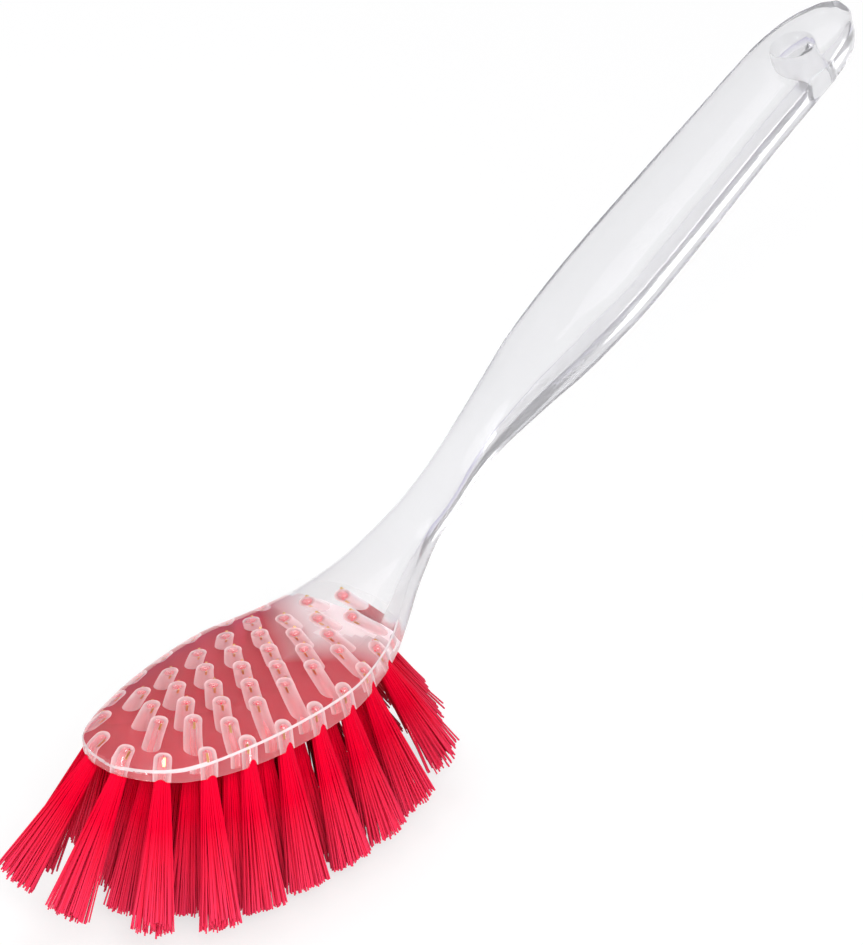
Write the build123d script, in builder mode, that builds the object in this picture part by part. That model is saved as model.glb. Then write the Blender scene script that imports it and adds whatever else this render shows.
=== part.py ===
"""A clear dish brush: one moulding for head, neck and grip, folded bristle tufts and their wire anchors.

The head lies along X with its tip towards -X, its bristles hang down and the handle rises towards +X.
Millimetres. The origin is level with the lowest bristle ends, under the middle of the whole brush.
"""

import os
from collections import namedtuple
from math import atan2, cos, hypot, pi, sin

from build123d import *

# Side view of the moulding: the head is level, the heel bends up and the handle carries on
head_length = 85.0
heel_rise = 10.3
handle_length = 153.2
handle_rise = 55.8

# Widest section of the head: half width, dome above the rim line, side wall below it, rounded underside
head_half_width = 19.2
head_crown = 5.0
head_wall = 4.4
head_belly = 1.6

# Widest section of the grip
grip_half_width = 10.4
grip_crown = 2.2
grip_wall = 5.2
grip_belly = 3.2

# Hang hole, square to the grip near its end
hang_hole_radius = 4.8
hang_hole_setback = 17.1

# Blind holes for the tufts
tuft_hole_radius = 1.6
tuft_hole_depth = 8.5
hole_end_fillet = 1.2
crown_skin = 1.3

# Rows of tufts inside the rim, counted outwards from the middle row
tuft_pitch = 8.4
row_spacing = 5.4
row_start = 10.0
row_tufts = (8, 7, 5)

# The ring of tufts that breaks out through the rim's lower edge, on each side of the one at the tip
rim_inset = 1.15
rim_pitch = 8.4
rim_tufts_per_side = 8

# How the tufts lean: little at the middle of the head, more towards its tip, heel and sides
splay_centre = 34.0
splay_reach = 33.0
end_lean_share = 0.30
end_curl_share = 0.55
heel_lean_limit_share = 0.62
side_lean_share = 0.21
tip_fan_share = 1.05
tip_fan_length = 24.0

# Bristles: a few thick strands stand for each tuft, fused to the plug that fills its hole
tuft_clearance = 0.05
bristle_reach = 27.5
rounded_trim = 3.0
trim_half_length = 40.0
trim_half_width = 21.0
strand_radius = 0.42
strand_sides = 3
ring_strands = 7
root_ring_radius = 1.05
flare_radius = 2.75
strand_overlap = 1.5
floor_cut = 0.5

# Flat wire anchors, driven across the blind ends so that they bite into the moulding
anchor_thickness = 0.4
anchor_height = 1.6
anchor_bite = 0.35
anchor_fold = 1.0
anchor_turn = 40.0
anchor_clearance = 0.03

overrun = 6.0

# The quarter curve above the rim line, from the rim to the ridge, as shares of half width and crown
crown_shares = ((1, 0), (0.90, 0.55), (0.55, 0.90), (0, 1))
# The quarter curve of the underside, from the wall's lower edge to the middle
belly_shares = ((1, 0), (0.80, 0.60), (0.45, 1), (0, 1))

# Along the head: station, rise, half width, crown, wall and belly, as shares of the head's own sizes
head_shares = (
    (0.000, 0.000, 0.120, 0.30, 0.360, 0.20),
    (0.007, 0.000, 0.255, 0.36, 0.400, 0.26),
    (0.024, 0.000, 0.430, 0.44, 0.450, 0.34),
    (0.047, 0.000, 0.575, 0.53, 0.520, 0.45),
    (0.082, 0.000, 0.685, 0.64, 0.620, 0.58),
    (0.129, 0.000, 0.770, 0.76, 0.760, 0.72),
    (0.188, 0.000, 0.845, 0.87, 0.880, 0.85),
    (0.259, 0.000, 0.917, 0.95, 0.960, 0.94),
    (0.353, 0.000, 0.975, 1.00, 1.000, 1.00),
    (0.447, 0.000, 1.000, 1.00, 1.000, 1.00),
    (0.524, 0.000, 0.985, 1.00, 1.000, 1.00),
    (0.600, 0.000, 0.905, 0.98, 1.000, 1.00),
    (0.647, 0.010, 0.840, 0.96, 1.000, 1.00),
    (0.694, 0.045, 0.770, 0.93, 0.990, 1.02),
    (0.735, 0.095, 0.700, 0.90, 0.975, 1.05),
    (0.776, 0.190, 0.620, 0.86, 0.960, 1.08),
    (0.824, 0.330, 0.530, 0.80, 0.930, 1.14),
    (0.882, 0.535, 0.425, 0.72, 0.890, 1.20),
    (0.941, 0.765, 0.345, 0.64, 0.860, 1.24),
    (1.000, 1.000, 0.283, 0.56, 0.830, 1.24),
)
# Along the neck and grip: the same six, as shares of the handle's own sizes
handle_shares = (
    (0.055, 0.071, 0.440, 1.000, 0.755, 0.610),
    (0.109, 0.146, 0.440, 0.886, 0.710, 0.590),
    (0.147, 0.194, 0.495, 0.860, 0.720, 0.610),
    (0.192, 0.242, 0.598, 0.873, 0.755, 0.670),
    (0.244, 0.296, 0.732, 0.910, 0.820, 0.765),
    (0.288, 0.340, 0.845, 0.955, 0.890, 0.845),
    (0.346, 0.397, 0.928, 0.980, 0.955, 0.940),
    (0.404, 0.452, 0.980, 1.000, 1.000, 1.000),
    (0.500, 0.545, 1.000, 1.000, 1.000, 1.000),
    (0.622, 0.663, 0.964, 1.000, 1.000, 1.000),
    (0.724, 0.760, 0.933, 1.000, 0.980, 0.970),
    (0.827, 0.854, 0.923, 0.970, 0.950, 0.920),
    (0.891, 0.910, 0.902, 0.930, 0.920, 0.870),
    (0.930, 0.942, 0.825, 0.880, 0.900, 0.800),
    (0.958, 0.966, 0.696, 0.800, 0.870, 0.720),
    (0.981, 0.984, 0.505, 0.680, 0.830, 0.600),
    (0.995, 0.996, 0.310, 0.560, 0.790, 0.460),
    (1.000, 1.000, 0.145, 0.440, 0.750, 0.340),
)

Section = namedtuple("Section", "station rise half_width crown wall belly")
Tuft = namedtuple("Tuft", "name mouth down depth")


def lay_out_sections():
    """Every section of the moulding, from the tip of the head to the end of the grip."""
    head_sizes = (head_length, heel_rise, head_half_width, head_crown, head_wall, head_belly)
    handle_sizes = (handle_length, handle_rise, grip_half_width, grip_crown, grip_wall, grip_belly)
    head = [Section(*(share * size for share, size in zip(row, head_sizes))) for row in head_shares]
    handle = [Section(*(share * size for share, size in zip(row, handle_sizes))) for row in handle_shares]
    joined = [row._replace(station=head_length + row.station, rise=heel_rise + row.rise) for row in handle]
    return head + joined


sections = lay_out_sections()


def section_at(station):
    """The section at any station, taken in proportion between the two beside it."""
    for before, after in zip(sections, sections[1:]):
        if station <= after.station:
            break
    share = (station - before.station) / (after.station - before.station)
    return Section(*(low + share * (high - low) for low, high in zip(before, after)))


def curve_point(shares, along):
    """A point of a quarter curve, as shares, from 0 at the rim to 1 at the middle."""
    back = 1 - along
    weights = (back ** 3, 3 * back * back * along, 3 * back * along * along, along ** 3)
    across = sum(weight * share[0] for weight, share in zip(weights, shares))
    up = sum(weight * share[1] for weight, share in zip(weights, shares))
    return across, up


def curve_height(shares, across_share):
    """How high a quarter curve stands at a share of the half width, found by halving."""
    low = 0
    high = 1
    for _ in range(24):
        middle_share = (low + high) / 2
        if curve_point(shares, middle_share)[0] > across_share:
            low = middle_share
        else:
            high = middle_share
    return curve_point(shares, low)[1]


def crown_level(x, y):
    """Height of the moulding's upper surface."""
    here = section_at(x)
    return here.rise + here.crown * curve_height(crown_shares, min(abs(y) / here.half_width, 1))


def belly_level(x, y):
    """Height of the moulding's underside."""
    here = section_at(x)
    return here.rise - here.wall - here.belly * curve_height(belly_shares, min(abs(y) / here.half_width, 1))


def bristle_direction(x, y):
    """Which way a tuft points: down, and more and more outwards away from the middle of the head."""
    away = (x - splay_centre) / splay_reach
    lean_x = min(end_lean_share * away + end_curl_share * away ** 3, heel_lean_limit_share)
    fan_share = tip_fan_share * max(1 - x / tip_fan_length, 0) ** 2
    lean_y = (side_lean_share + fan_share) * y / head_half_width
    return Vector(lean_x, lean_y, -1).normalized()


def hole_depth(mouth, down):
    """The full depth, or as deep as leaves a sound skin of plastic under the dome."""
    depth = tuft_hole_depth
    for _ in range(6):
        end = mouth - down * depth
        room = (crown_level(end.X, end.Y) - crown_skin - mouth.Z) / -down.Z
        depth = min(tuft_hole_depth, room)
    return depth


def make_tuft(name, x, y):
    down = bristle_direction(x, y)
    mouth = Vector(x, y, belly_level(x, y))
    return Tuft(name, mouth, down, hole_depth(mouth, down))


def lay_out_rows():
    """The straight rows inside the rim, each staggered by half a pitch from the one beside it."""
    inner_tufts = []
    for row, count in enumerate(row_tufts):
        for place in range(count):
            x = row_start + (place + row / 2) * tuft_pitch
            y = row * row_spacing
            if row:
                inner_tufts.append(make_tuft(f"tuft_near_row{row}_{place + 1:02d}", x, -y))
                inner_tufts.append(make_tuft(f"tuft_far_row{row}_{place + 1:02d}", x, y))
            else:
                inner_tufts.append(make_tuft(f"tuft_middle_row_{place + 1:02d}", x, y))
    return inner_tufts


def lay_out_rim():
    """The outer ring: steps of one pitch along the inset outline, both ways from the tip of the head."""
    inner_half_width = head_half_width - rim_inset
    outline = [(row.station, row.half_width - rim_inset) for row in sections if row.half_width > rim_inset]
    line = [(rim_inset, 0)] + [(x + rim_inset * (1 - y / inner_half_width), y) for x, y in outline]
    rim_tufts = [make_tuft("tuft_rim_tip", rim_inset, 0)]
    walked = 0
    for start, end in zip(line, line[1:]):
        span = hypot(end[0] - start[0], end[1] - start[1])
        for place in range(1, rim_tufts_per_side + 1):
            share = (place * rim_pitch - walked) / span
            if 0 <= share < 1:
                x = start[0] + share * (end[0] - start[0])
                y = start[1] + share * (end[1] - start[1])
                rim_tufts.append(make_tuft(f"tuft_rim_near_{place:02d}", x, -y))
                rim_tufts.append(make_tuft(f"tuft_rim_far_{place:02d}", x, y))
        walked += span
    return rim_tufts


tufts = lay_out_rows() + lay_out_rim()


def strand_ends(tuft):
    """Root centre and tip centre of each strand: one down the middle and the rest in a flaring ring."""
    side_x = Vector(0, 1, 0).cross(tuft.down).normalized()
    side_y = tuft.down.cross(side_x)
    spokes = [Vector(0, 0, 0)]
    for turn in range(ring_strands):
        angle = 2 * pi * turn / ring_strands
        spokes.append(side_x * cos(angle) + side_y * sin(angle))
    ends = []
    for spoke in spokes:
        root = tuft.mouth - tuft.down * strand_overlap + spoke * root_ring_radius
        full = tuft.mouth + tuft.down * bristle_reach + spoke * flare_radius
        away = hypot((tuft.mouth.X + spoke.X * flare_radius - splay_centre) / trim_half_length,
                     (tuft.mouth.Y + spoke.Y * flare_radius) / trim_half_width)
        tip = full - (full - root).normalized() * rounded_trim * min(away, 1.1) ** 4
        ends.append((root, tip))
    return ends


def section_slope(place):
    """The slope of the centre line at one section, from its neighbours."""
    before = sections[max(place - 1, 0)]
    after = sections[min(place + 1, len(sections) - 1)]
    return atan2(after.rise - before.rise, after.station - before.station)


# The floor lies a little above the lowest strand ends, and the origin is midway along the whole reach
all_tips = [tip for tuft in tufts for root, tip in strand_ends(tuft)]
floor_level = min(tip.Z for tip in all_tips) + floor_cut
bristle_end = min(tip.X for tip in all_tips) - strand_radius
last = sections[-1]
grip_end = last.station + (last.wall + last.belly) * sin(section_slope(len(sections) - 1))
to_origin = Vector(-(bristle_end + grip_end) / 2, 0, -floor_level)


def tuft_plane(tuft, up_shift=0):
    """A plane square to a tuft's hole at its blind end, or that far above it, turned to its anchor."""
    up = -tuft.down
    wire = Vector(1, 0, 0).rotate(Axis.Z, anchor_turn)
    square = (wire - up * wire.dot(up)).normalized()
    return Plane(origin=tuft.mouth + up * (tuft.depth + up_shift) + to_origin, x_dir=square, z_dir=up)


def section_plane(place):
    here = sections[place]
    slope = section_slope(place)
    origin = Vector(here.station, 0, here.rise) + to_origin
    return Plane(origin=origin, x_dir=(0, 1, 0), z_dir=(cos(slope), 0, sin(slope)))


def quarter(shares, half_width, start, height):
    """Points of one quarter curve, starting at the rim."""
    return [(across * half_width, start + up * height) for across, up in shares]


def mirrored(points):
    return [(-across, up) for across, up in reversed(points)]


def hang_hole_centre():
    """The middle of the hang hole, half way through the grip, and the slope there."""
    station = head_length + handle_length - hang_hole_setback
    here = section_at(station)
    slope = atan2(sections[-1].rise - here.rise, sections[-1].station - station)
    drop = (here.crown - here.wall - here.belly) / 2
    centre = Vector(station - sin(slope) * drop, 0, here.rise + cos(slope) * drop)
    return centre + to_origin, slope


hang_centre, hang_slope = hang_hole_centre()
hang_hole_plane = Plane(origin=hang_centre, x_dir=(0, 1, 0), z_dir=(-sin(hang_slope), 0, cos(hang_slope)))


# Cutter for one tuft hole, hanging from its blind end, with the slot that its anchor bites
slot_length = 2 * (tuft_hole_radius + anchor_bite + anchor_clearance)
slot_thickness = anchor_thickness + 2 * anchor_clearance
slot_height = anchor_height + 2 * anchor_clearance
with BuildPart() as hole_cutter:
    with BuildSketch():
        Circle(tuft_hole_radius)
    extrude(amount=-(tuft_hole_depth + overrun))
    fillet(hole_cutter.faces().sort_by(Axis.Z)[-1].edges(), hole_end_fillet)
    with BuildSketch(Plane.XY.offset(anchor_clearance - anchor_fold)):
        Rectangle(slot_length, slot_thickness)
    extrude(amount=-slot_height)

with BuildPart() as handle_and_head:
    for place, here in enumerate(sections):
        crown_curve = quarter(crown_shares, here.half_width, 0, here.crown)
        belly_curve = quarter(belly_shares, here.half_width, -here.wall, -here.belly)
        with BuildSketch(section_plane(place)):
            with BuildLine():
                Bezier(*crown_curve)
                Bezier(*mirrored(crown_curve))
                Line((-here.half_width, 0), (-here.half_width, -here.wall))
                Bezier(*mirrored(belly_curve))
                Bezier(*belly_curve)
                Line((here.half_width, -here.wall), (here.half_width, 0))
            make_face()
    loft()
    with Locations(*[tuft_plane(tuft) for tuft in tufts]):
        add(hole_cutter.part, mode=Mode.SUBTRACT)
    with BuildSketch(hang_hole_plane):
        Circle(hang_hole_radius)
    extrude(amount=overrun, both=True, mode=Mode.SUBTRACT)
handle_and_head.part.label = "handle_and_head"

with BuildPart() as anchor_staples:
    with Locations(*[tuft_plane(tuft, -anchor_fold - anchor_height / 2) for tuft in tufts]):
        Box(2 * (tuft_hole_radius + anchor_bite), anchor_thickness, anchor_height)
anchor_staples.part.label = "anchor_staples"


def strand(root, tip):
    """One straight bristle strand with a few flat sides."""
    along = tip - root
    sideways = Vector(0, 1, 0).cross(along)
    plane = Plane(origin=root + to_origin, x_dir=sideways, z_dir=along)
    profile = plane * RegularPolygon(strand_radius, strand_sides)
    return extrude(profile, amount=along.length, dir=along)


pieces = [handle_and_head, anchor_staples]
for tuft in tufts:
    strands = [strand(root, tip) for root, tip in strand_ends(tuft)]
    with BuildPart() as bristle_tuft:
        with BuildSketch(tuft_plane(tuft, -tuft_clearance)):
            Circle(tuft_hole_radius - tuft_clearance)
        extrude(amount=tuft_clearance - tuft.depth)
        fillet(bristle_tuft.faces().filter_by(GeomType.PLANE).sort_by(Axis.Z)[-1].edges(), hole_end_fillet)
        with BuildSketch(tuft_plane(tuft, anchor_clearance - anchor_fold)):
            Rectangle(slot_length, slot_thickness)
        extrude(amount=-slot_height, mode=Mode.SUBTRACT)
        add(strands)
        if min(tip.Z for root, tip in strand_ends(tuft)) < floor_level + strand_radius:
            split(bisect_by=Plane.XY, keep=Keep.TOP)
    bristle_tuft.part.label = tuft.name
    pieces.append(bristle_tuft)

os.makedirs("parts", exist_ok=True)
for piece in pieces:
    export_step(piece.part, f"parts/{piece.part.label}.step")
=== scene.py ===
"""A clear dish brush with red bristles, standing on its bristle ends in soft studio light.

Metres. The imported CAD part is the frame: the tip of the head points towards -X, the handle rises towards
+X and the bristles hang down. Four pieces are made here: the clear moulding with its blind tuft holes, and
the filaments of the inner rows, the outer rows and the ring along the rim. The flat wire anchors keep their
CAD shape and get a brass finish.
"""

from collections import namedtuple
from math import atan2, cos, pi, radians, sin, sqrt

import bmesh
import bpy
import numpy as np
from mathutils import Matrix, Vector


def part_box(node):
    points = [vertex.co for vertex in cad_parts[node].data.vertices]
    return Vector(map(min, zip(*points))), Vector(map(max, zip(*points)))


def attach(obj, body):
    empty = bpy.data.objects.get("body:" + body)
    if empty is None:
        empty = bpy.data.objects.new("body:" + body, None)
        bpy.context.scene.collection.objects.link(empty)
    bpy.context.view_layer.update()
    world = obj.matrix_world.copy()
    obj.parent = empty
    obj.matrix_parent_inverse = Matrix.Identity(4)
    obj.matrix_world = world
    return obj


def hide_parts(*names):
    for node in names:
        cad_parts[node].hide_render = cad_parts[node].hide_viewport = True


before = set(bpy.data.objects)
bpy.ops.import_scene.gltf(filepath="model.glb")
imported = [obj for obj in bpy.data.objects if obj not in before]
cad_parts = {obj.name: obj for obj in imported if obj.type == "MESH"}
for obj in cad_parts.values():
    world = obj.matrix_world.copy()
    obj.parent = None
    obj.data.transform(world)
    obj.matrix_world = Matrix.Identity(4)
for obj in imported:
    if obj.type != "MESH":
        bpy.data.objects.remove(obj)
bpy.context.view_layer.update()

MM = 0.001

# Side view of the moulding
head_length = 85.0 * MM
heel_rise = 10.3 * MM
handle_length = 153.2 * MM
handle_rise = 55.8 * MM

# Widest section of the head: half width, dome above the rim line, side wall below it, rounded underside
head_half_width = 19.2 * MM
head_crown = 5.0 * MM
head_wall = 4.4 * MM
head_belly = 1.6 * MM

# Widest section of the grip
grip_half_width = 10.4 * MM
grip_crown = 2.2 * MM
grip_wall = 5.2 * MM
grip_belly = 3.2 * MM

# Soft edges of the moulding, and the domes that close its two ends
edge_softness = 0.18 * MM
edge_zone = 0.8 * MM
# How wide the band along the rim is that carries the painted highlight
rim_highlight_band = 0.3 * MM
end_dome = 0.45 * MM

# How finely the moulding's mesh is laid: ring spacing, and what counts as facing down
ring_spacing = 1.1 * MM
merge_distance = 0.002 * MM
facing_down = 0.9

# Hang hole through the end of the grip
hang_hole_radius = 4.8 * MM
hang_hole_setback = 17.1 * MM

# Blind tuft holes
tuft_hole_radius = 1.6 * MM
tuft_hole_depth = 8.5 * MM
hole_end_fillet = 1.2 * MM
crown_skin = 1.3 * MM
hole_overrun = 6.0 * MM

# Rows of tufts inside the rim, and the ring of tufts along it
tuft_pitch = 8.4 * MM
row_spacing = 5.4 * MM
row_start = 10.0 * MM
row_tufts = (8, 7, 5)
rim_inset = 1.15 * MM
rim_pitch = 8.4 * MM
rim_tufts_per_side = 8

# How the tufts lean
splay_centre = 34.0 * MM
splay_reach = 33.0 * MM
end_lean = 0.30
end_curl = 0.55
heel_lean_limit = 0.62
side_lean = 0.21
tip_fan = 1.05
tip_fan_length = 24.0 * MM
anchor_turn = radians(40)

# Filaments
filaments_per_tuft = 128
filament_radius = 0.17 * MM
filament_sides = 4
bristle_seed = 11
bundle_radius = 1.36 * MM
flare_radius = 3.9 * MM
bristle_reach = 27.5 * MM
rounded_trim = 3.0 * MM
trim_half_length = 40.0 * MM
trim_half_width = 21.0 * MM
uneven_trim = 0.8 * MM
stray_bend = 0.7 * MM
fold_gap = 0.45 * MM
fold_height = 2.0 * MM
floor_gap = 0.8 * MM

# The quarter curves of a section, from the rim to the middle, as shares of half width and height
crown_shares = ((1, 0), (0.90, 0.55), (0.55, 0.90), (0, 1))
belly_shares = ((1, 0), (0.80, 0.60), (0.45, 1), (0, 1))

# Along the head: station, rise, half width, crown, wall and belly, as shares of the head's own sizes
head_shares = (
    (0.000, 0.000, 0.120, 0.30, 0.360, 0.20),
    (0.007, 0.000, 0.255, 0.36, 0.400, 0.26),
    (0.024, 0.000, 0.430, 0.44, 0.450, 0.34),
    (0.047, 0.000, 0.575, 0.53, 0.520, 0.45),
    (0.082, 0.000, 0.685, 0.64, 0.620, 0.58),
    (0.129, 0.000, 0.770, 0.76, 0.760, 0.72),
    (0.188, 0.000, 0.845, 0.87, 0.880, 0.85),
    (0.259, 0.000, 0.917, 0.95, 0.960, 0.94),
    (0.353, 0.000, 0.975, 1.00, 1.000, 1.00),
    (0.447, 0.000, 1.000, 1.00, 1.000, 1.00),
    (0.524, 0.000, 0.985, 1.00, 1.000, 1.00),
    (0.600, 0.000, 0.905, 0.98, 1.000, 1.00),
    (0.647, 0.010, 0.840, 0.96, 1.000, 1.00),
    (0.694, 0.045, 0.770, 0.93, 0.990, 1.02),
    (0.735, 0.095, 0.700, 0.90, 0.975, 1.05),
    (0.776, 0.190, 0.620, 0.86, 0.960, 1.08),
    (0.824, 0.330, 0.530, 0.80, 0.930, 1.14),
    (0.882, 0.535, 0.425, 0.72, 0.890, 1.20),
    (0.941, 0.765, 0.345, 0.64, 0.860, 1.24),
    (1.000, 1.000, 0.283, 0.56, 0.830, 1.24),
)
# Along the neck and grip: the same six, as shares of the handle's own sizes
handle_shares = (
    (0.055, 0.071, 0.440, 1.000, 0.755, 0.610),
    (0.109, 0.146, 0.440, 0.886, 0.710, 0.590),
    (0.147, 0.194, 0.495, 0.860, 0.720, 0.610),
    (0.192, 0.242, 0.598, 0.873, 0.755, 0.670),
    (0.244, 0.296, 0.732, 0.910, 0.820, 0.765),
    (0.288, 0.340, 0.845, 0.955, 0.890, 0.845),
    (0.346, 0.397, 0.928, 0.980, 0.955, 0.940),
    (0.404, 0.452, 0.980, 1.000, 1.000, 1.000),
    (0.500, 0.545, 1.000, 1.000, 1.000, 1.000),
    (0.622, 0.663, 0.964, 1.000, 1.000, 1.000),
    (0.724, 0.760, 0.933, 1.000, 0.980, 0.970),
    (0.827, 0.854, 0.923, 0.970, 0.950, 0.920),
    (0.891, 0.910, 0.902, 0.930, 0.920, 0.870),
    (0.930, 0.942, 0.825, 0.880, 0.900, 0.800),
    (0.958, 0.966, 0.696, 0.800, 0.870, 0.720),
    (0.981, 0.984, 0.505, 0.680, 0.830, 0.600),
    (0.995, 0.996, 0.310, 0.560, 0.790, 0.460),
    (1.000, 1.000, 0.145, 0.440, 0.750, 0.340),
)

Tuft = namedtuple("Tuft", "mouth down depth")

# The frame says where the head's tip and the rim line are
moulding_low, moulding_high = (Vector(corner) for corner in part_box("handle_and_head"))
tip_x = moulding_low.x
rim_z = moulding_low.z + head_wall + head_belly
head_sizes = (head_length, heel_rise, head_half_width, head_crown, head_wall, head_belly)
handle_sizes = (handle_length, handle_rise, grip_half_width, grip_crown, grip_wall, grip_belly)
head_rows = np.array(head_shares) * head_sizes
handle_rows = np.array(handle_shares) * handle_sizes + (head_length, heel_rise, 0, 0, 0, 0)
sections = np.vstack([head_rows, handle_rows])
heel_row = 15
tongue_start = 0.52 * head_length
tongue_end = 0.66 * head_length
stations = sections[:, 0]
section_slopes = np.gradient(sections, stations, axis=0)


def section_at(station):
    """Station, rise, half width, crown, wall and belly, on a smooth curve through the tables."""
    place = int(np.clip(np.searchsorted(stations, station) - 1, 0, len(stations) - 2))
    span = stations[place + 1] - stations[place]
    t = (station - stations[place]) / span
    start = (1 + 2 * t) * (1 - t) ** 2 * sections[place] + t * (1 - t) ** 2 * span * section_slopes[place]
    end = t * t * (3 - 2 * t) * sections[place + 1] - t * t * (1 - t) * span * section_slopes[place + 1]
    return start + end


def slope_at(station):
    step = 0.5 * MM
    low = section_at(max(station - step, stations[0]))
    high = section_at(min(station + step, stations[-1]))
    return atan2(high[1] - low[1], high[0] - low[0])


def quarter_curve(shares, half_width, height, count):
    """A Bezier quarter from the rim to the middle, as (across, up) points."""
    along = np.linspace(0, 1, count)[:, None]
    back = 1 - along
    points = np.array(shares, float) * (half_width, height)
    return (back ** 3 * points[0] + 3 * back ** 2 * along * points[1]
            + 3 * back * along ** 2 * points[2] + along ** 3 * points[3])


def curve_height(shares, across_share):
    """How high a quarter curve stands, as a share, at a share of the half width."""
    curve = quarter_curve(shares, 1, 1, 200)[::-1]
    return float(np.interp(across_share, curve[:, 0], curve[:, 1]))


def crown_level(x, y):
    _, rise, half_width, crown, _, _ = section_at(x)
    return rise + crown * curve_height(crown_shares, min(abs(y) / half_width, 1))


def belly_level(x, y):
    _, rise, half_width, _, wall, belly = section_at(x)
    return rise - wall - belly * curve_height(belly_shares, min(abs(y) / half_width, 1))


def lay_out_tuft(x, y):
    """One tuft in the head's own frame: its mouth, which way its bristles point, and how deep its hole is."""
    away = (x - splay_centre) / splay_reach
    lean_x = min(end_lean * away + end_curl * away ** 3, heel_lean_limit)
    lean_y = (side_lean + tip_fan * max(1 - x / tip_fan_length, 0) ** 2) * y / head_half_width
    down = Vector((lean_x, lean_y, -1)).normalized()
    mouth = Vector((x, y, belly_level(x, y)))
    depth = tuft_hole_depth
    for _ in range(6):
        end = mouth - down * depth
        depth = min(tuft_hole_depth, (crown_level(end.x, end.y) - crown_skin - mouth.z) / -down.z)
    return Tuft(mouth, down, depth)


def lay_out_rows():
    """The straight rows inside the rim, each staggered by half a pitch from the one beside it."""
    places = []
    for row, count in enumerate(row_tufts):
        for place in range(count):
            x = row_start + (place + row / 2) * tuft_pitch
            places += [(x, side * row * row_spacing) for side in ((-1, 1) if row else (1,))]
    return places


def lay_out_rim():
    """The outer ring: steps of one pitch along the inset outline, both ways from the tip of the head."""
    inner = sections[sections[:, 2] > rim_inset]
    half_widths = inner[:, 2] - rim_inset
    line_x = inner[:, 0] + rim_inset * (1 - half_widths / (head_half_width - rim_inset))
    line = np.vstack([[rim_inset, 0], np.column_stack([line_x, half_widths])])
    walked = np.concatenate([[0], np.cumsum(np.hypot(*np.diff(line, axis=0).T))])
    steps = rim_pitch * np.arange(1, rim_tufts_per_side + 1)
    ring_x = np.interp(steps, walked, line[:, 0])
    ring_y = np.interp(steps, walked, line[:, 1])
    ring = [(x, side * y) for x, y in zip(ring_x, ring_y) for side in (-1, 1)]
    return [(rim_inset, 0)] + ring


tufts = [lay_out_tuft(x, y) for x, y in lay_out_rows() + lay_out_rim()]
head_to_frame = Vector((tip_x, 0, rim_z))


def make_piece(name, points, faces, *materials):
    """A plain mesh object at the origin, smooth shaded, with these materials."""
    mesh = bpy.data.meshes.new(name)
    mesh.from_pydata([tuple(point) for point in points], [], faces)
    mesh.validate()
    for material in materials:
        mesh.materials.append(material)
    mesh.polygons.foreach_set("use_smooth", [True] * len(mesh.polygons))
    piece = bpy.data.objects.new(name, mesh)
    bpy.context.scene.collection.objects.link(piece)
    return piece


def close_up(piece):
    """Merges points that meet and turns every face outwards."""
    shell = bmesh.new()
    shell.from_mesh(piece.data)
    bmesh.ops.remove_doubles(shell, verts=shell.verts, dist=merge_distance)
    bmesh.ops.recalc_face_normals(shell, faces=shell.faces)
    shell.to_mesh(piece.data)
    shell.free()


# Materials

# Clear styrene: nearly colourless in the head, light grey and a little cloudy along the handle
styrene_ior = 1.42
head_tint = (0.97, 0.955, 0.96, 1)
handle_tint = (0.87, 0.87, 0.885, 1)
tint_start = 0.6 * head_length
tint_end = 0.9 * head_length
head_clearness = 1
handle_clearness = 0.80

# The hole walls, and how far they cover what is behind them, face on and edge on
hole_wall_tint = (1.0, 0.96, 0.97, 1)
hole_wall_glow = (1.0, 0.93, 0.95, 1)
hole_wall_cover = (0.26, 1)

# The underside between the tufts: painted red for the bristles seen through the clear plastic, and pale in a
# tongue that starts at the heel
underside_painted_red = (0.70, 0.003, 0.03, 1)
underside_pale = (1, 0.95, 0.97, 1)
underside_roughness = 0.4

# The filaments, at the head and where they were trimmed
filament_red = (0.93, 0.0, 0.034, 1)
trimmed_red = (1.0, 0.05, 0.13, 1)


def new_material(name):
    material = bpy.data.materials.new(name)
    material.use_nodes = True
    return material, material.node_tree, material.node_tree.nodes["Principled BSDF"]


def object_axes(tree):
    """The X, Y and Z sockets of a point on the object."""
    place = tree.nodes.new("ShaderNodeTexCoord")
    split = tree.nodes.new("ShaderNodeSeparateXYZ")
    tree.links.new(place.outputs["Object"], split.inputs["Vector"])
    return split.outputs["X"], split.outputs["Y"], split.outputs["Z"]


def shader_math(tree, operation, *values):
    node = tree.nodes.new("ShaderNodeMath")
    node.operation = operation
    for place, value in enumerate(values):
        tree.links.new(value, node.inputs[place])
    return node.outputs[0]


def map_range(tree, value, low, high, to_low=0, to_high=1):
    """value between low and high, carried over to between to_low and to_high, and held there."""
    node = tree.nodes.new("ShaderNodeMapRange")
    for name, number in (("From Min", low), ("From Max", high), ("To Min", to_low), ("To Max", to_high)):
        node.inputs[name].default_value = number
    tree.links.new(value, node.inputs["Value"])
    return node.outputs["Result"]


def colour_between(tree, share, first, last, start=0, end=1):
    """A colour that goes from first to last while share goes from start to end."""
    ramp = tree.nodes.new("ShaderNodeValToRGB")
    for stop, position, colour in zip(ramp.color_ramp.elements, (start, end), (first, last)):
        stop.position = position
        stop.color = colour
    tree.links.new(share, ramp.inputs["Fac"])
    return ramp.outputs["Color"]


def clear_plastic(name, clearness):
    """Clear styrene, tinted from the head's colour to the handle's along its length."""
    material, tree, shader = new_material(name)
    x, _, _ = object_axes(tree)
    along = map_range(tree, x, tip_x + tint_start, tip_x + tint_end)
    tree.links.new(colour_between(tree, along, head_tint, handle_tint), shader.inputs["Base Color"])
    shader.inputs["Roughness"].default_value = 0.02
    shader.inputs["IOR"].default_value = styrene_ior
    shader.inputs["Transmission Weight"].default_value = clearness
    return material


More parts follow.
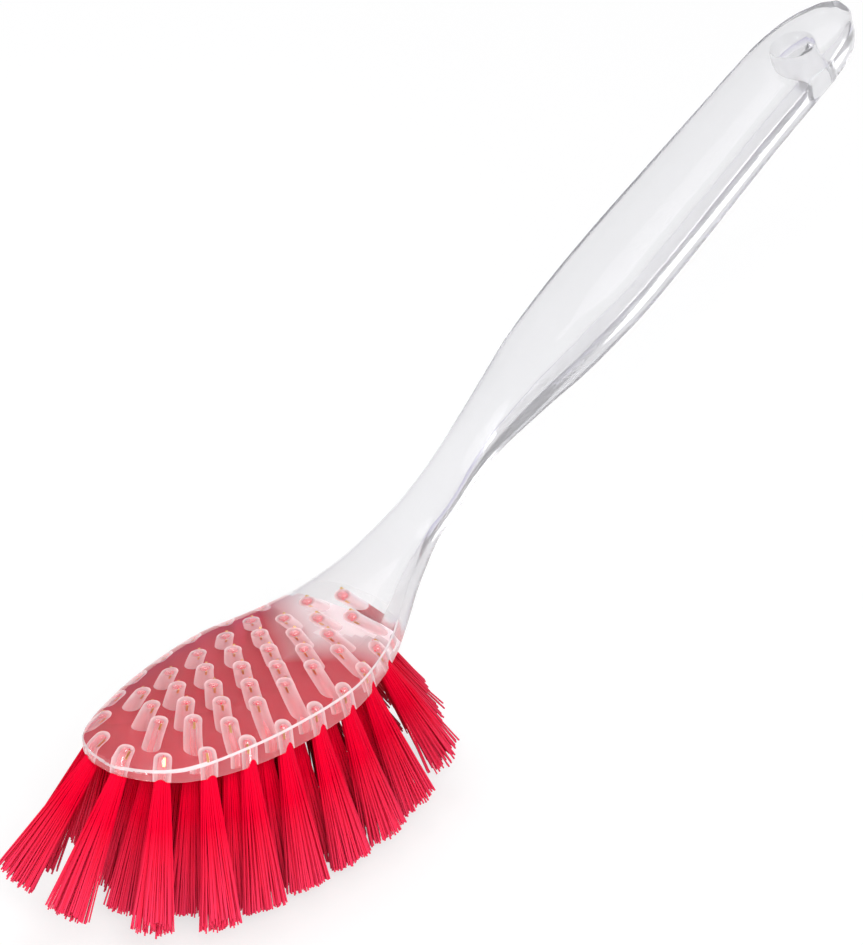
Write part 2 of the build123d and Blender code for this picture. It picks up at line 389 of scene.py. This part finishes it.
def painted_rim_highlight_plastic():
    """A fine pale edge along the rim, painted as the rim's highlight line."""
    material, _, shader = new_material("painted_rim_highlight")
    shader.inputs["Base Color"].default_value = (1.0, 0.94, 0.95, 1)
    shader.inputs["Roughness"].default_value = 0.25
    shader.inputs["Alpha"].default_value = 0.75
    return material


def frosted_plastic():
    """Tuft hole walls. Their half mirror and faint glow stand in for the light that they throw back."""
    material, tree, shader = new_material("frosted_hole_wall")
    shader.inputs["Base Color"].default_value = hole_wall_tint
    shader.inputs["Metallic"].default_value = 0.3
    shader.inputs["Roughness"].default_value = 0.14
    shader.inputs["Emission Color"].default_value = hole_wall_glow
    shader.inputs["Emission Strength"].default_value = 0.26
    weight = tree.nodes.new("ShaderNodeLayerWeight")
    weight.inputs["Blend"].default_value = 0.4
    cover = map_range(tree, weight.outputs["Facing"], 0, 0.75, *hole_wall_cover)
    tree.links.new(cover, shader.inputs["Alpha"])
    return material


def underside_plastic():
    """The face that the tufts stand in. Its red is painted light, standing in for what clear plastic gathers
    from the bristles.
    """
    material, tree, shader = new_material("satin_underside_painted_red")
    x, y, _ = object_axes(tree)
    back = shader_math(tree, "SUBTRACT", x, shader_math(tree, "ABSOLUTE", y))
    along = map_range(tree, back, tip_x + tongue_start, tip_x + tongue_end)
    # Painted red between the tufts, turning pale in the tongue that starts at the heel
    tree.links.new(colour_between(tree, along, underside_painted_red, underside_pale), shader.inputs["Base Color"])
    shader.inputs["Roughness"].default_value = underside_roughness
    shader.inputs["IOR"].default_value = styrene_ior
    shader.inputs["Transmission Weight"].default_value = 0.2
    return material


def pale_underside_plastic():
    """The same face past the red tongue. Its faint glow stands in for light gathered by the thick heel."""
    material, _, shader = new_material("pale_underside")
    shader.inputs["Base Color"].default_value = underside_pale
    shader.inputs["Roughness"].default_value = underside_roughness
    shader.inputs["Emission Color"].default_value = underside_pale
    shader.inputs["Emission Strength"].default_value = 0.12
    return material


def red_nylon():
    """Bright red filaments, paler where they were trimmed."""
    material, tree, shader = new_material("red_nylon")
    along = tree.nodes.new("ShaderNodeAttribute")
    along.attribute_name = "along"
    colour = colour_between(tree, along.outputs["Fac"], filament_red, trimmed_red, start=0.35)
    tree.links.new(colour, shader.inputs["Base Color"])
    shader.inputs["Roughness"].default_value = 0.5
    shader.inputs["Specular IOR Level"].default_value = 0.12
    return material


def brass():
    material, _, shader = new_material("brass_wire")
    shader.inputs["Base Color"].default_value = (0.80, 0.52, 0.18, 1)
    shader.inputs["Metallic"].default_value = 1
    shader.inputs["Roughness"].default_value = 0.3
    return material


clear_head = clear_plastic("clear_head", head_clearness)
clear_handle = clear_plastic("clear_handle", handle_clearness)
painted_rim_highlight = painted_rim_highlight_plastic()
frosted = frosted_plastic()
underside = underside_plastic()
pale_underside = pale_underside_plastic()
moulding_finishes = (clear_head, clear_handle, underside, pale_underside, painted_rim_highlight)
red = red_nylon()
brass_wire = brass()


# The clear moulding


def softened_section(station):
    """One closed section as (across, up) points: the two curves and the side walls, with softened corners."""
    _, _, half_width, crown, wall, belly = section_at(station)
    crown_curve = quarter_curve(crown_shares, half_width, crown, 40)[::-1]
    belly_curve = quarter_curve(belly_shares, half_width, -belly, 40) - (0, wall)
    half = np.vstack([crown_curve, belly_curve])
    outline = np.vstack([half, half[-2:0:-1] * (-1, 1), half[:1]])
    walked = np.concatenate([[0], np.cumsum(np.hypot(*np.diff(outline, axis=0).T))])
    girth = walked[-1]
    rim = walked[len(crown_curve) - 1]
    lower_edge = walked[len(crown_curve)]
    keel = girth / 2
    zone = min(edge_zone, 0.35 * wall, 0.2 * rim)
    near = zone * np.linspace(-1, 1, 7)
    half_stops = np.concatenate([np.linspace(0, rim - zone, 14)[:-1], rim + near,
                                 np.linspace(rim + zone, lower_edge - zone, 4)[1:-1], lower_edge + near,
                                 np.linspace(lower_edge + zone, keel, 11)[1:]])
    stops = np.concatenate([half_stops, girth - half_stops[-2:0:-1]])
    softness = min(edge_softness, 0.35 * zone)
    shifts = np.linspace(-2, 2, 13)
    weights = np.exp(-shifts ** 2 / 2)
    weights /= weights.sum()
    soft = np.zeros((len(stops), 2))
    for shift, weight in zip(shifts, weights):
        at = (stops + shift * softness) % girth
        across, up = (np.interp(at, walked, outline[:, axis]) for axis in (0, 1))
        soft += weight * np.column_stack([across, up])
    return soft


def placed_ring(station, section, out=0.0):
    """A section's points in the frame, on a plane square to the centre line, moved out along it."""
    slope = slope_at(station)
    centre = np.array([station, 0, section_at(station)[1]]) + head_to_frame
    forward = np.array([cos(slope), 0, sin(slope)])
    upward = np.array([-sin(slope), 0, cos(slope)])
    sideways = np.array([0, 1, 0])
    return centre + out * forward + section[:, :1] * sideways + section[:, 1:] * upward


def dome_rings(station, facing):
    """Shrinking rings that close one end of the moulding, from its face to the middle of its dome."""
    section = softened_section(station)
    middle = (section.max(axis=0) + section.min(axis=0)) / 2
    rings = []
    for turn in np.linspace(0, pi / 2, 6)[1:]:
        shrunk = middle + (section - middle) * max(cos(turn), 0.02)
        rings.append(placed_ring(station, shrunk, facing * end_dome * sin(turn)))
    return rings


def clear_blank():
    """The moulding before its holes, ring by ring from the tip of the head to the end of the grip."""
    ring_stations = [stations[0]]
    for start, end in zip(stations, stations[1:]):
        count = max(3, round((end - start) / ring_spacing))
        ring_stations += list(np.linspace(start, end, count + 1)[1:])
    rings = dome_rings(stations[0], -1)[::-1]
    rings += [placed_ring(station, softened_section(station)) for station in ring_stations]
    rings += dome_rings(stations[-1], 1)
    girth = len(rings[0])
    faces = [list(range(girth))[::-1]]
    for ring in range(len(rings) - 1):
        base = ring * girth
        for place in range(girth):
            after = (place + 1) % girth
            faces.append((base + place, base + after, base + girth + after, base + girth + place))
    faces.append([(len(rings) - 1) * girth + place for place in range(girth)])
    return make_piece("clear_moulding", np.vstack(rings), faces, *moulding_finishes)


def finish_faces(piece):
    """Clear head or handle by where a face lies, satin painted red between the tufts, and the pale painted
    highlight along the rim.
    """
    for face in piece.data.polygons:
        x, y, z = face.center
        in_head = x < tip_x + head_rows[heel_row, 0]
        above_rim = z - rim_z - section_at(x - tip_x)[1]
        if in_head and face.normal.z < -facing_down:
            before_tongue = x - abs(y) < tip_x + tongue_end
            finish = underside if before_tongue else pale_underside
        # A thin band along the rim gets the pale painted highlight
        elif in_head and abs(above_rim) < rim_highlight_band and abs(face.normal.z) < facing_down:
            finish = painted_rim_highlight
        else:
            finish = clear_head if in_head else clear_handle
        face.material_index = moulding_finishes.index(finish)


def turned_cutter(profile, sides, origin, axis):
    """Points and faces of a solid of revolution: profile is (radius, along) from the closed end outwards."""
    turn = axis.to_track_quat("Z", "Y").to_matrix()
    points = []
    faces = []
    for radius, along in profile:
        for side in range(sides):
            angle = 2 * pi * side / sides
            points.append(origin + turn @ Vector((radius * cos(angle), radius * sin(angle), along)))
    for ring in range(len(profile) - 1):
        base = ring * sides
        for side in range(sides):
            after = (side + 1) % sides
            faces.append((base + side, base + after, base + sides + after, base + sides + side))
    faces.append(list(range(sides))[::-1])
    faces.append([(len(profile) - 1) * sides + side for side in range(sides)])
    return points, faces


def tuft_hole_cutters():
    """Every blind tuft hole in one mesh, with the rounded end that the drill leaves."""
    flat = tuft_hole_radius - hole_end_fillet
    rounded = [(flat + hole_end_fillet * sin(turn), hole_end_fillet * (1 - cos(turn)))
               for turn in np.linspace(0, pi / 2, 6)]
    points = []
    faces = []
    for tuft in tufts:
        blind_end = tuft.mouth - tuft.down * tuft.depth + head_to_frame
        profile = rounded + [(tuft_hole_radius, tuft.depth + hole_overrun)]
        new_points, new_faces = turned_cutter(profile, 28, blind_end, tuft.down)
        faces += [[len(points) + corner for corner in face] for face in new_faces]
        points += new_points
    return make_piece("tuft_hole_cutters", points, faces, frosted)


def hang_hole_cutter():
    station = stations[-1] - hang_hole_setback
    _, rise, _, crown, wall, belly = section_at(station)
    slope = atan2(sections[-1][1] - rise, stations[-1] - station)
    axis = Vector((-sin(slope), 0, cos(slope)))
    top = Vector((station, 0, rise)) + axis * crown + head_to_frame
    length = crown + wall + belly
    profile = [(hang_hole_radius, -length - hole_overrun), (hang_hole_radius, hole_overrun)]
    points, faces = turned_cutter(profile, 72, top, axis)
    return make_piece("hang_hole_cutter", points, faces, clear_handle)


def cut(piece, cutter):
    """Takes the cutter out of the piece, and keeps the cutter's material on the cut faces."""
    close_up(cutter)
    modifier = piece.modifiers.new("cut", "BOOLEAN")
    modifier.object = cutter
    modifier.operation = "DIFFERENCE"
    modifier.solver = "EXACT"
    modifier.material_mode = "TRANSFER"
    evaluated = piece.evaluated_get(bpy.context.evaluated_depsgraph_get())
    mesh = bpy.data.meshes.new_from_object(evaluated)
    piece.modifiers.clear()
    piece.data = mesh
    bpy.data.objects.remove(cutter)


moulding = clear_blank()
close_up(moulding)
finish_faces(moulding)
cut(moulding, hang_hole_cutter())
cut(moulding, tuft_hole_cutters())
moulding.data.name = "clear_moulding"
moulding.data.polygons.foreach_set("use_smooth", [True] * len(moulding.data.polygons))
moulding.data.set_sharp_from_angle(angle=radians(32))
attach(moulding, "root")
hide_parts("handle_and_head")


# The bristle tufts, grown by a node tree from one point for each tuft


class TreeBuilder:
    """Adds nodes to a geometry tree and joins their sockets by name."""

    def __init__(self, name):
        self.tree = bpy.data.node_groups.new(name, "GeometryNodeTree")
        self.sizes = {}
        self.tree.interface.new_socket("Geometry", in_out="INPUT", socket_type="NodeSocketGeometry")
        self.tree.interface.new_socket("Geometry", in_out="OUTPUT", socket_type="NodeSocketGeometry")
        self.start = self.tree.nodes.new("NodeGroupInput")
        self.end = self.tree.nodes.new("NodeGroupOutput")

    def size(self, name, value):
        """A named input of the tree, given its value on the modifier later."""
        kind = "NodeSocketInt" if isinstance(value, int) else "NodeSocketFloat"
        socket = self.tree.interface.new_socket(name, in_out="INPUT", socket_type=kind)
        self.sizes[socket.identifier] = value
        return self.start.outputs[name]

    def add(self, kind, inputs, output=0, **settings):
        """One node, with its inputs set or linked, and one of its outputs."""
        node = self.tree.nodes.new(kind)
        for name, value in settings.items():
            setattr(node, name, value)
        for name, value in inputs.items():
            socket = node.inputs[name]
            if isinstance(value, bpy.types.NodeSocket):
                self.tree.links.new(value, socket)
            else:
                socket.default_value = value
        return node.outputs[output]

    def math(self, operation, *values):
        return self.add("ShaderNodeMath", dict(enumerate(values)), operation=operation)

    def vector(self, operation, *values):
        return self.add("ShaderNodeVectorMath", dict(enumerate(values)), operation=operation)

    def dot(self, a, b):
        return self.add("ShaderNodeVectorMath", {0: a, 1: b}, output="Value", operation="DOT_PRODUCT")

    def scaled(self, vector, amount):
        return self.add("ShaderNodeVectorMath", {0: vector, "Scale": amount}, operation="SCALE")

    def total(self, first, *rest):
        for vector in rest:
            first = self.vector("ADD", first, vector)
        return first

    def ramp(self, value, low, high, to_low, to_high):
        """value between low and high, carried over to between to_low and to_high, and held there."""
        return self.add("ShaderNodeMapRange", {"Value": value, "From Min": low, "From Max": high,
                                               "To Min": to_low, "To Max": to_high})

    def store(self, geometry, name, value, kind="FLOAT"):
        inputs = {"Geometry": geometry, "Name": name, "Value": value}
        return self.add("GeometryNodeStoreNamedAttribute", inputs, data_type=kind, domain="POINT")

    def read(self, name, kind="FLOAT"):
        return self.add("GeometryNodeInputNamedAttribute", {"Name": name}, data_type=kind)


def filament_tree():
    """Each tuft point becomes a bundle of filaments: folded over its anchor, then straight and flaring."""
    tree = TreeBuilder("bristle_filaments")
    count = tree.size("Filaments in a tuft", filaments_per_tuft)
    thickness = tree.size("Filament radius", filament_radius)
    bundle = tree.size("Bundle radius in the hole", bundle_radius)
    flare = tree.size("Flare radius at the ends", flare_radius)
    reach = tree.size("Reach below the head", bristle_reach)
    trim = tree.size("Rounded trim", rounded_trim)
    uneven = tree.size("Uneven trim", uneven_trim)
    stray = tree.size("Stray bend", stray_bend)
    seed = tree.size("Seed", 7)

    # Where each filament sits in its bundle: a sunflower pattern, turned by a random angle in every tuft
    down = tree.read("down", "FLOAT_VECTOR")
    side = tree.read("side", "FLOAT_VECTOR")
    across = tree.vector("CROSS_PRODUCT", down, side)
    copies = tree.tree.nodes.new("GeometryNodeDuplicateElements")
    copies.domain = "POINT"
    tree.tree.links.new(tree.start.outputs["Geometry"], copies.inputs["Geometry"])
    tree.tree.links.new(count, copies.inputs["Amount"])
    number = copies.outputs["Duplicate Index"]
    share = tree.math("DIVIDE", tree.math("ADD", number, 0.5), count)
    ring = tree.math("SQRT", share)
    golden_turn = pi * (3 - sqrt(5))
    angle = tree.math("ADD", tree.math("MULTIPLY", number, golden_turn), tree.read("turn"))
    jitter = tree.add("FunctionNodeRandomValue", {"Min": (-1, -1, -1), "Max": (1, 1, 1), "Seed": seed},
                      data_type="FLOAT_VECTOR")
    points = copies.outputs["Geometry"]
    points = tree.store(points, "bundle_u", tree.math("MULTIPLY", ring, tree.math("COSINE", angle)))
    points = tree.store(points, "bundle_v", tree.math("MULTIPLY", ring, tree.math("SINE", angle)))
    points = tree.store(points, "jitter", jitter, "FLOAT_VECTOR")
    points = tree.store(points, "mouth", tree.add("GeometryNodeInputPosition", {}), "FLOAT_VECTOR")

    # How long it is: the trimmed ends of all the tufts make one rounded field, clear of the floor
    u = tree.read("bundle_u")
    v = tree.read("bundle_v")
    mouth = tree.read("mouth", "FLOAT_VECTOR")
    random = tree.read("jitter", "FLOAT_VECTOR")
    spread = tree.total(tree.scaled(side, u), tree.scaled(across, v))
    end_place = tree.total(mouth, tree.scaled(spread, flare), (-splay_centre - head_to_frame.x, 0, 0))
    field = tree.vector("MULTIPLY", end_place, (1 / trim_half_length, 1 / trim_half_width, 0))
    distance = tree.add("ShaderNodeVectorMath", {0: field}, output="Value", operation="LENGTH")
    away = tree.math("MINIMUM", distance, 1.1)
    trimmed = tree.math("SUBTRACT", reach, tree.math("MULTIPLY", trim, tree.math("POWER", away, 4.0)))
    ragged = tree.math("ADD", trimmed, tree.math("MULTIPLY", uneven, tree.dot(random, (0, 0, 1))))
    flare_drop = tree.math("MULTIPLY", flare, tree.dot(spread, (0, 0, 1)))
    height = tree.math("ADD", tree.math("SUBTRACT", tree.dot(mouth, (0, 0, 1)), floor_gap), flare_drop)
    to_floor = tree.math("DIVIDE", height, tree.dot(down, (0, 0, -1)))
    free = tree.math("MINIMUM", ragged, to_floor)

    # One line of eight points for each filament, placed along the fold, the hole and the free length
    straight = tree.add("GeometryNodeCurvePrimitiveLine", {})
    line = tree.add("GeometryNodeResampleCurve", {"Curve": straight, "Count": 8})
    strands = tree.add("GeometryNodeInstanceOnPoints", {"Points": points, "Instance": line})
    strands = tree.add("GeometryNodeRealizeInstances", {"Geometry": strands})
    step = tree.add("GeometryNodeSplineParameter", {}, output="Index")
    buried = tree.math("SUBTRACT", tree.read("depth"), fold_gap)
    fold = tree.ramp(step, 0, 2, 0, 1)
    out = tree.ramp(step, 3, 7, 0, 1)
    in_hole = tree.ramp(step, 2, 3, 0, tree.math("SUBTRACT", buried, fold_height))
    dropped = tree.math("MULTIPLY", tree.math("MULTIPLY", fold, fold), fold_height)
    along = tree.math("SUBTRACT", tree.math("ADD", tree.math("ADD", dropped, in_hole),
                                            tree.math("MULTIPLY", out, free)), buried)
    radius = tree.math("ADD", bundle, tree.math("MULTIPLY", tree.math("SUBTRACT", flare, bundle), out))
    opened = tree.math("MULTIPLY", tree.math("MULTIPLY", v, radius), tree.math("SQRT", fold))
    bend = tree.math("MULTIPLY", stray, tree.math("MULTIPLY", out, out))
    place = tree.total(mouth, tree.scaled(down, along), tree.scaled(side, tree.math("MULTIPLY", u, radius)),
                       tree.scaled(across, opened), tree.scaled(random, bend))
    strands = tree.add("GeometryNodeSetPosition", {"Geometry": strands, "Position": place})
    strands = tree.store(strands, "along", out)

    circle = {"Resolution": filament_sides, "Radius": thickness}
    profile = tree.add("GeometryNodeCurvePrimitiveCircle", circle)
    swept = {"Curve": strands, "Profile Curve": profile, "Fill Caps": True}
    tubes = tree.add("GeometryNodeCurveToMesh", swept)
    tubes = tree.add("GeometryNodeSetShadeSmooth", {"Geometry": tubes})
    tubes = tree.add("GeometryNodeRealizeInstances", {"Geometry": tubes})
    tubes = tree.add("GeometryNodeSetMaterial", {"Geometry": tubes, "Material": red})
    tree.tree.links.new(tubes, tree.end.inputs["Geometry"])
    return tree


def tuft_points(name, some_tufts, seed):
    """One point at each tuft's mouth, which knows its hole's direction, depth and anchor."""
    piece = make_piece(name, [tuft.mouth + head_to_frame for tuft in some_tufts], [])
    turns = np.random.default_rng(seed).uniform(0, 2 * pi, len(some_tufts))
    wire = Vector((cos(anchor_turn), sin(anchor_turn), 0))
    sides = [(wire - tuft.down * wire.dot(tuft.down)).normalized() for tuft in some_tufts]
    for field_name, kind, field, values in (
        ("down", "FLOAT_VECTOR", "vector", [tuft.down for tuft in some_tufts]),
        ("side", "FLOAT_VECTOR", "vector", sides),
        ("depth", "FLOAT", "value", [tuft.depth for tuft in some_tufts]),
        ("turn", "FLOAT", "value", turns),
    ):
        attribute = piece.data.attributes.new(field_name, kind, "POINT")
        attribute.data.foreach_set(field, np.array(values, dtype=np.float32).ravel())
    return piece


def grow_bristles(name, some_tufts, tree, seed):
    """Runs the tree on one group of tufts and keeps its result as a plain mesh."""
    piece = tuft_points(name, some_tufts, seed)
    modifier = piece.modifiers.new("filaments", "NODES")
    modifier.node_group = tree.tree
    for identifier, value in tree.sizes.items():
        modifier[identifier] = value
    evaluated = piece.evaluated_get(bpy.context.evaluated_depsgraph_get())
    mesh = bpy.data.meshes.new_from_object(evaluated)
    piece.modifiers.clear()
    piece.data = mesh
    mesh.name = name
    return piece


filaments = filament_tree()
tuft_nodes = [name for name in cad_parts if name.startswith("tuft_")]
bristle_groups = (
    ("inner_bristle_rows", ("_middle_row_", "_row1_")),
    ("outer_bristle_rows", ("_row2_",)),
    ("rim_bristle_ring", ("_rim_",)),
)
grown = 0
for name, marks in bristle_groups:
    dressed = [node for node in tuft_nodes if any(mark in node for mark in marks)]
    bristles = grow_bristles(name, tufts[grown:grown + len(dressed)], filaments, bristle_seed + grown)
    grown += len(dressed)
    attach(bristles, "root")
    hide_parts(*dressed)

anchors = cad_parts["anchor_staples"]
anchors.data.materials.clear()
anchors.data.materials.append(brass_wire)


# The studio: a white floor and sky, soft lamps kept out of reflections, and a long lens

white = (1, 1, 1, 1)
horizon_band = (0.58, 0.55, 0.76, 1)
band_span = (0.02, 0.40)
sky_strength = 0.55
floor_reach = 6.0
floor_grey = (0.38, 0.38, 0.38, 1)
floor_glow = 0.66
key_lamp_place = (-0.75, -0.75, 0.6)
key_lamp_size = 0.7
key_lamp_watts = 10.5
top_lamp_place = (0.2, 0.5, 1.1)
top_lamp_size = 0.8
top_lamp_watts = 3


def seen_directly(tree, *names):
    """1 on the rays that reach the background from the camera or in one of these other ways, else 0."""
    path = tree.nodes.new("ShaderNodeLightPath")
    seen = path.outputs["Is Camera Ray"]
    for name in names:
        seen = shader_math(tree, "MAXIMUM", seen, path.outputs[name])
    return seen


def set_sky():
    """White to the camera. Glass also sees a cooler, darker band low on the horizon, which draws its edges."""
    world = bpy.data.worlds.new("studio")
    world.use_nodes = True
    tree = world.node_tree
    sky = tree.nodes["Background"]
    place = tree.nodes.new("ShaderNodeTexCoord")
    split = tree.nodes.new("ShaderNodeSeparateXYZ")
    tree.links.new(place.outputs["Generated"], split.inputs["Vector"])
    band = colour_between(tree, split.outputs["Z"], horizon_band, white, *band_span)
    path = tree.nodes.new("ShaderNodeLightPath")
    colour = tree.nodes.new("ShaderNodeMix")
    colour.data_type = "RGBA"
    tree.links.new(path.outputs["Is Camera Ray"], colour.inputs["Factor"])
    tree.links.new(band, colour.inputs["A"])
    colour.inputs["B"].default_value = white
    tree.links.new(colour.outputs["Result"], sky.inputs["Color"])
    seen = seen_directly(tree, "Is Transmission Ray")
    tree.links.new(map_range(tree, seen, 0, 1, sky_strength, 1), sky.inputs["Strength"])
    bpy.context.scene.world = world


def lay_floor():
    """A wide pale floor that shows the object's soft shadow, brighter on rays that see it directly."""
    corners = [(x * floor_reach, y * floor_reach, 0) for x, y in ((-1, -1), (1, -1), (1, 1), (-1, 1))]
    material, tree, shader = new_material("white_floor")
    shader.inputs["Base Color"].default_value = floor_grey
    shader.inputs["Roughness"].default_value = 1
    shader.inputs["Specular IOR Level"].default_value = 0
    shader.inputs["Emission Color"].default_value = white
    seen = seen_directly(tree, "Is Glossy Ray", "Is Transmission Ray")
    tree.links.new(map_range(tree, seen, 0, 1, 0, floor_glow), shader.inputs["Emission Strength"])
    floor = make_piece("floor", corners, [(0, 1, 2, 3)], material)


def hang_lamp(name, place, target, size, watts):
    lamp = bpy.data.lights.new(name, "AREA")
    lamp.shape = "DISK"
    lamp.size = size
    lamp.energy = watts
    holder = bpy.data.objects.new(name, lamp)
    holder.location = place
    holder.rotation_euler = (Vector(target) - Vector(place)).to_track_quat("-Z", "Y").to_euler()
    holder.visible_glossy = False
    bpy.context.scene.collection.objects.link(holder)


# The lens stands in the head's own frame and looks along these directions of the photograph
lens_place = Vector((-441.2, -432.5, 344.6)) * MM + head_to_frame
image_right = Vector((0.6054, -0.7937, -0.0603))
image_down = Vector((-0.3750, -0.2175, -0.9012))
image_width_px = 863
focal_px = 4032
film_width = 36
nearest_seen = 0.01
furthest_seen = 50


def place_camera():
    camera = bpy.data.cameras.new("camera")
    camera.sensor_fit = "HORIZONTAL"
    camera.sensor_width = film_width
    camera.lens = camera.sensor_width * focal_px / image_width_px
    camera.clip_start = nearest_seen
    camera.clip_end = furthest_seen
    holder = bpy.data.objects.new("camera", camera)
    back = -image_right.cross(image_down)
    turn = Matrix((image_right, -image_down, back)).transposed().to_4x4()
    holder.matrix_world = Matrix.Translation(lens_place) @ turn
    bpy.context.scene.collection.objects.link(holder)
    bpy.context.scene.camera = holder


bpy.context.scene.view_settings.view_transform = "Standard"
set_sky()
lay_floor()
head_middle = tuple(head_to_frame + Vector((splay_centre, 0, 0)))
hang_lamp("key_lamp", key_lamp_place, head_middle, key_lamp_size, key_lamp_watts)
hang_lamp("top_lamp", top_lamp_place, head_middle, top_lamp_size, top_lamp_watts)
place_camera()
